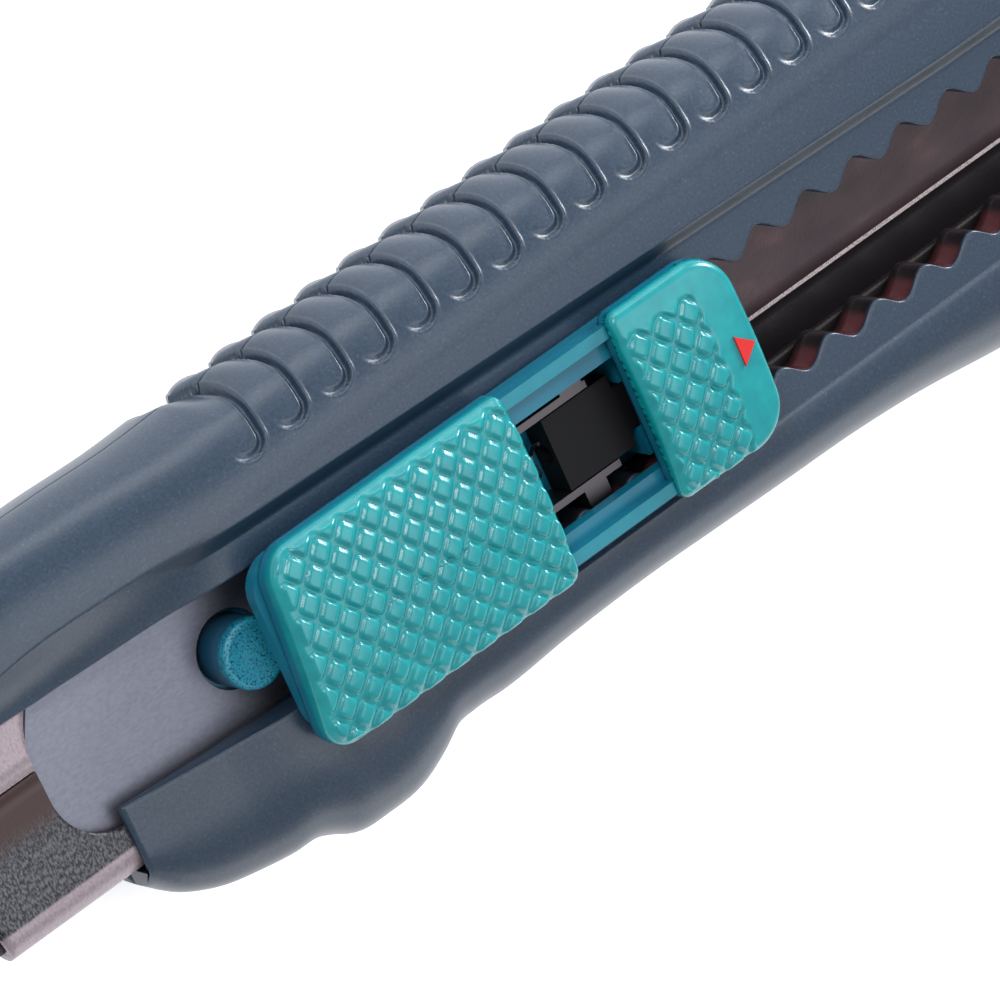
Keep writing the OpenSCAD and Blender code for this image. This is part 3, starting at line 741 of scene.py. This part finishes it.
def slate_plastic():
    """Grained slate; painted shade darkens the belly side's scallop walls, a painted red-brown reflection lies in
    their hollows, and painted shade runs along the track's rim.
    """
    mat, _ = material("slate_plastic", (0.020, 0.042, 0.075), 0.33)
    grain = add_noise(mat, 5200, 2)
    mottle(mat, grain, [(0.3, (0.011, 0.024, 0.044)), (0.66, (0.019, 0.038, 0.068)),
                        (0.82, (0.046, 0.076, 0.112))])
    add_bump(mat, grain, 0.22, 0.00003)
    x, y, z = (drawing_axes(mat)[k] for k in ("X", "Y", "Z"))
    slot = band(mat, x, 29, 134, 0.5)
    # Painted shade: the belly side's scallop walls inside the slot are tinted near black.
    wall = multiply(mat, band(mat, y, -7.9, -5.4, 0.3), band(mat, z, 9.0, 12.25, 0.2), slot)
    tint(mat, wall, (0.008, 0.006, 0.008))
    # Painted reflection: red-brown in the belly side's scallop hollows, standing in for the steel mirrored in the
    # concave walls.
    valley_reflection = multiply(mat, band(mat, y, -7.9, -6.75, 0.5), band(mat, z, 9.6, 12.2, 0.6), slot)
    tint(mat, valley_reflection, (0.085, 0.022, 0.026))
    # Painted shade along the track's rim; the rim draws in towards the slot along the knife, so it is a band of y
    # + 0.025 x
    lean = mat.node_tree.nodes.new("ShaderNodeMath")
    lean.operation = "MULTIPLY_ADD"
    lean.inputs[1].default_value = 0.025
    mat.node_tree.links.new(x, lean.inputs[0])
    mat.node_tree.links.new(y, lean.inputs[2])
    rim = multiply(mat, band(mat, lean.outputs["Value"], 7.0, 8.1, 0.25), band(mat, z, 12.3, 14, 0.1))
    tint(mat, rim, (0.009, 0.020, 0.037))
    return mat


def teal_plastic():
    """Clear teal; painted shade makes the slider's sides below the pads' tops darker and bluer."""
    mat, _ = material("teal_plastic", (0.002, 0.23, 0.25), 0.27)
    grain = add_noise(mat, 900, 3)
    mottle(mat, grain, [(0.25, (0.001, 0.185, 0.215)), (0.75, (0.002, 0.245, 0.262))])
    x, z = (drawing_axes(mat)[k] for k in ("X", "Z"))
    # Painted shade: the slider's sides below the pads' tops are darker and bluer than the tops.
    slider_side_shade = multiply(mat, band(mat, z, -5, 14.75, 0.6), band(mat, x, 15, 80, 1))
    tint(mat, slider_side_shade, (0.005, 0.125, 0.20))
    return mat


def holder_plastic():
    """Speckled blue teal, with painted shade darkening everything below the pin's top."""
    mat, _ = material("holder_plastic", (0.006, 0.12, 0.18), 0.4)
    grain = add_noise(mat, 6500, 3)
    mottle(mat, grain, [(0.36, (0.003, 0.02, 0.05)), (0.46, (0.008, 0.17, 0.26)), (0.7, (0.010, 0.24, 0.33))])
    add_bump(mat, grain, 0.3, 0.00005)
    # Painted shade: the pin's side and the parts below its top are darker.
    tint(mat, band(mat, drawing_axes(mat)["Z"], 0, 10.9, 0.5), (0.004, 0.075, 0.15))
    return mat


def channel_steel():
    """Dark steel with a streaked grain whose brown tone is a painted warm reflection; the nose has a dark seam
    side, a brushed belt, a bright spine flange and a painted highlight along the belly side's rolled edge, and
    behind the nose the floor's belly half has painted shade and its step a painted highlight.
    """
    mat, _ = material("channel_steel", (0.06, 0.042, 0.05), 0.36, 0.35)
    grain = add_noise(mat, 330, 4, (0.5, 1, 1))
    # Painted reflection: the brown of this mottle stands in for warm surroundings mirrored in the steel; the
    # streaked grain is the steel's own.
    mottle(mat, grain, [(0.36, (0.040, 0.028, 0.034)), (0.58, (0.062, 0.040, 0.046)),
                        (0.78, (0.13, 0.065, 0.075))])
    x, y, z = (drawing_axes(mat)[k] for k in ("X", "Y", "Z"))
    speckle = add_noise(mat, 8200, 2, (0.8, 0.4, 1))
    brushed = color_ramp(mat, speckle, [(0.40, (0.010, 0.010, 0.013)), (0.62, (0.085, 0.090, 0.105))])
    # The bright colour serves the spine flange and the painted highlight on the belly side's rolled edge.
    bright = color_ramp(mat, speckle, [(0.3, (0.22, 0.18, 0.205)), (0.6, (0.29, 0.24, 0.27))])
    # Painted highlight: a near-white speckled colour for the line along the floor's step, where the bend would
    # catch the light.
    step_highlight_color = color_ramp(mat, speckle, [(0.36, (0.5, 0.40, 0.42)), (0.5, (1.0, 0.88, 0.88))])
    flange = band(mat, z, 8.3, 12, 0.3)
    nose = band(mat, x, -9, 16, 2)
    floor = band(mat, z, 5, 8.3, 0.2)
    belly_flange = multiply(mat, flange, band(mat, y, -11, 0.02, 0.02))
    seam_side = multiply(mat, flange, nose, band(mat, y, -3.6, 0.02, 0.02))
    brushed_belt = multiply(mat, flange, nose, band(mat, y, -11, -3.4, 2.6))
    spine_flange = multiply(mat, flange, nose, band(mat, y, 0.02, 12, 0.03))
    # Painted highlight: the belly side's rolled edge at the nose gets the bright colour, standing in for a bright
    # surround mirrored on its curve.
    belly_edge_highlight = multiply(mat, nose, band(mat, z, 6.2, 12, 0.3), band(mat, y, -11, -8.1, 0.25))
    # Painted shade: the floor's belly half beside the step is near black.
    low_floor_shade = multiply(mat, floor, band(mat, y, -11, -4.65, 0.2), band(mat, x, 14, 150, 1))
    # Painted highlight along the floor's step.
    step_highlight = multiply(mat, floor, band(mat, y, -4.66, -4.28, 0.06))
    for mask, color in ((belly_flange, (0.010, 0.008, 0.009)), (seam_side, (0.032, 0.015, 0.016)),
                        (brushed_belt, brushed), (spine_flange, bright), (belly_edge_highlight, bright),
                        (low_floor_shade, (0.014, 0.011, 0.014)), (step_highlight, step_highlight_color)):
        tint(mat, mask, color)
    add_bump(mat, speckle, 0.25, 0.00005)
    return mat


def blade_steel():
    """Satin steel, darker towards the cutting edge."""
    mat, _ = material("blade_steel", (0.168, 0.168, 0.205), 0.45, 0.7)
    grain = add_noise(mat, 5200, 2, (0.5, 1, 1))
    mottle(mat, grain, [(0.3, (0.154, 0.162, 0.206)), (0.7, (0.188, 0.196, 0.248))])
    tint(mat, band(mat, drawing_axes(mat)["Y"], -12, -6.4, 3.0), (0.045, 0.028, 0.045))
    add_bump(mat, grain, 0.06, 0.00003)
    return mat


def plain_material(name, color, roughness, metallic, noise, bump):
    """One colour with a fine bump; noise and bump are the arguments that follow the material."""
    mat, shader = material(name, color, roughness, metallic)
    add_bump(mat, add_noise(mat, *noise), *bump)
    return mat, shader


def make_materials():
    spring, _ = plain_material("spring_steel", (0.11, 0.10, 0.11), 0.4, 1.0,
                               (900, 3, (0.2, 1, 1)), (0.1, 0.00002))
    screw, _ = plain_material("screw_steel", (0.30, 0.30, 0.32), 0.35, 1.0, (1500, 3), (0.1, 0.00002))
    red, _ = plain_material("red_plastic", (0.50, 0.003, 0.003), 0.6, 0.0, (1500, 2), (0.05, 0.00002))
    black, shader = plain_material("black_plastic", (0.004, 0.004, 0.005), 0.55, 0.0,
                                   (1500, 3), (0.15, 0.00003))
    shader.inputs["Specular IOR Level"].default_value = 0.2
    return {"slate_plastic": slate_plastic(), "teal_plastic": teal_plastic(), "holder_plastic": holder_plastic(),
            "channel_steel": channel_steel(), "blade_steel": blade_steel(), "spring_steel": spring,
            "screw_steel": screw, "black_plastic": black, "red_plastic": red}


MATS = make_materials()
SLOTS = {
    "front_shell": "slate_plastic", "back_shell": "slate_plastic", "shell_screws": "screw_steel",
    "blade_channel": "channel_steel", "channel_rivets": "screw_steel", "snap_blade": "blade_steel",
    "blade_holder": "holder_plastic", "pressure_spring": "spring_steel", "slider_base": "teal_plastic",
    "slider_screws": "screw_steel", "detent_springs": "spring_steel", "detent_pins": "screw_steel",
    "thumb_pad": "teal_plastic", "lock_button": "teal_plastic", "button_marker": "red_plastic",
    "lock_slide": "black_plastic", "return_spring": "spring_steel", "spring_guide_rod": "screw_steel",
    "tail_cap": "teal_plastic", "cap_catch": "spring_steel",
}
for node, slot in SLOTS.items():
    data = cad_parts[node].data
    data.materials.clear()
    data.materials.append(MATS[slot])


def finish_piece(obj, body, slot, *nodes):
    """Give a piece its material and slot, let it ride on a body and stand for CAD nodes."""
    obj.data.materials.clear()
    obj.data.materials.append(MATS[slot])
    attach(obj, body)
    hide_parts(*nodes)


front_half, back_half = make_shells()
finish_piece(front_half, "handle", "slate_plastic", "front_shell")
finish_piece(back_half, "handle", "slate_plastic", "back_shell")
knurled_front, knurled_button, arrow = make_pads()
finish_piece(knurled_front, "slider", "teal_plastic", "thumb_pad")
finish_piece(knurled_button, "lock", "teal_plastic", "lock_button")
finish_piece(arrow, "lock", "red_plastic", "button_marker")
finish_piece(make_channel(), "handle", "channel_steel", "blade_channel")
finish_piece(make_holder(), "slider", "holder_plastic", "blade_holder")
finish_piece(make_cap(), "cap", "teal_plastic", "tail_cap")


# ---------------------------------------------------------------- stage, light, camera

def make_stage():
    """Plain pale floor."""
    half = 3
    corners = [(-half, -half, 0), (half, -half, 0), (half, half, 0), (-half, half, 0)]
    plane = new_object("floor", corners, [(0, 1, 2, 3)], smooth=False)
    mat, shader = material("floor", (0.93, 0.93, 0.95), 0.6)
    shader.inputs["Emission Color"].default_value = (0.98, 0.98, 1, 1)
    shader.inputs["Emission Strength"].default_value = 0.35
    plane.data.materials.append(mat)


def area_light(name, location, size, energy):
    """Rectangular light that points at the frame's origin."""
    data = bpy.data.lights.new(name, "AREA")
    data.shape = "RECTANGLE"
    data.size, data.size_y = size
    data.energy = energy
    obj = bpy.data.objects.new(name, data)
    bpy.context.scene.collection.objects.link(obj)
    obj.location = location
    obj.rotation_euler = (-Vector(location)).to_track_quat("-Z", "Y").to_euler()


def make_lights():
    """A key light from the spine's side, low lights on the other sides and a pale surround."""
    world = bpy.data.worlds.new("studio")
    bpy.context.scene.world = world
    world.use_nodes = True
    background = world.node_tree.nodes["Background"]
    background.inputs["Color"].default_value = (1, 1, 1, 1)
    background.inputs["Strength"].default_value = 0.55
    area_light("key", (-0.30, 0.42, 0.42), (0.24, 0.14), 1.65)
    area_light("rim", (0.10, 0.50, 0.16), (0.5, 0.14), 1.0)
    area_light("top", (0.09, -0.05, 0.60), (0.5, 0.5), 1.7)
    area_light("tail", (0.42, 0.16, 0.17), (0.10, 0.16), 2.4)
    area_light("belly", (0.16, -0.46, 0.10), (0.5, 0.16), 0.5)


def make_camera():
    """A long lens over the nose end of the spine side, rolled so that the knife rises to the right."""
    view = Vector((-0.4428, 0.3652, 0.8188)).normalized()  # from the target towards the camera
    knife = Vector((1, 0, 0))
    along = (knife - knife.dot(view) * view).normalized()
    across = view.cross(along)
    tilt = math.radians(35.62)                             # of the knife in the picture
    right = math.cos(tilt) * along - math.sin(tilt) * across
    up = view.cross(right)
    target = Vector(to_frame([46.08, -2.075, 12.5]))
    distance = 0.4
    data = bpy.data.cameras.new("camera")
    data.lens = 224.1
    data.sensor_width = 36
    data.clip_start = 0.01
    camera = bpy.data.objects.new("camera", data)
    bpy.context.scene.collection.objects.link(camera)
    rotation = Matrix((right, up, view)).transposed().to_4x4()
    camera.matrix_world = Matrix.Translation(target + view * distance) @ rotation
    bpy.context.scene.camera = camera
    bpy.context.scene.view_settings.view_transform = "Standard"


make_stage()
make_lights()
make_camera()
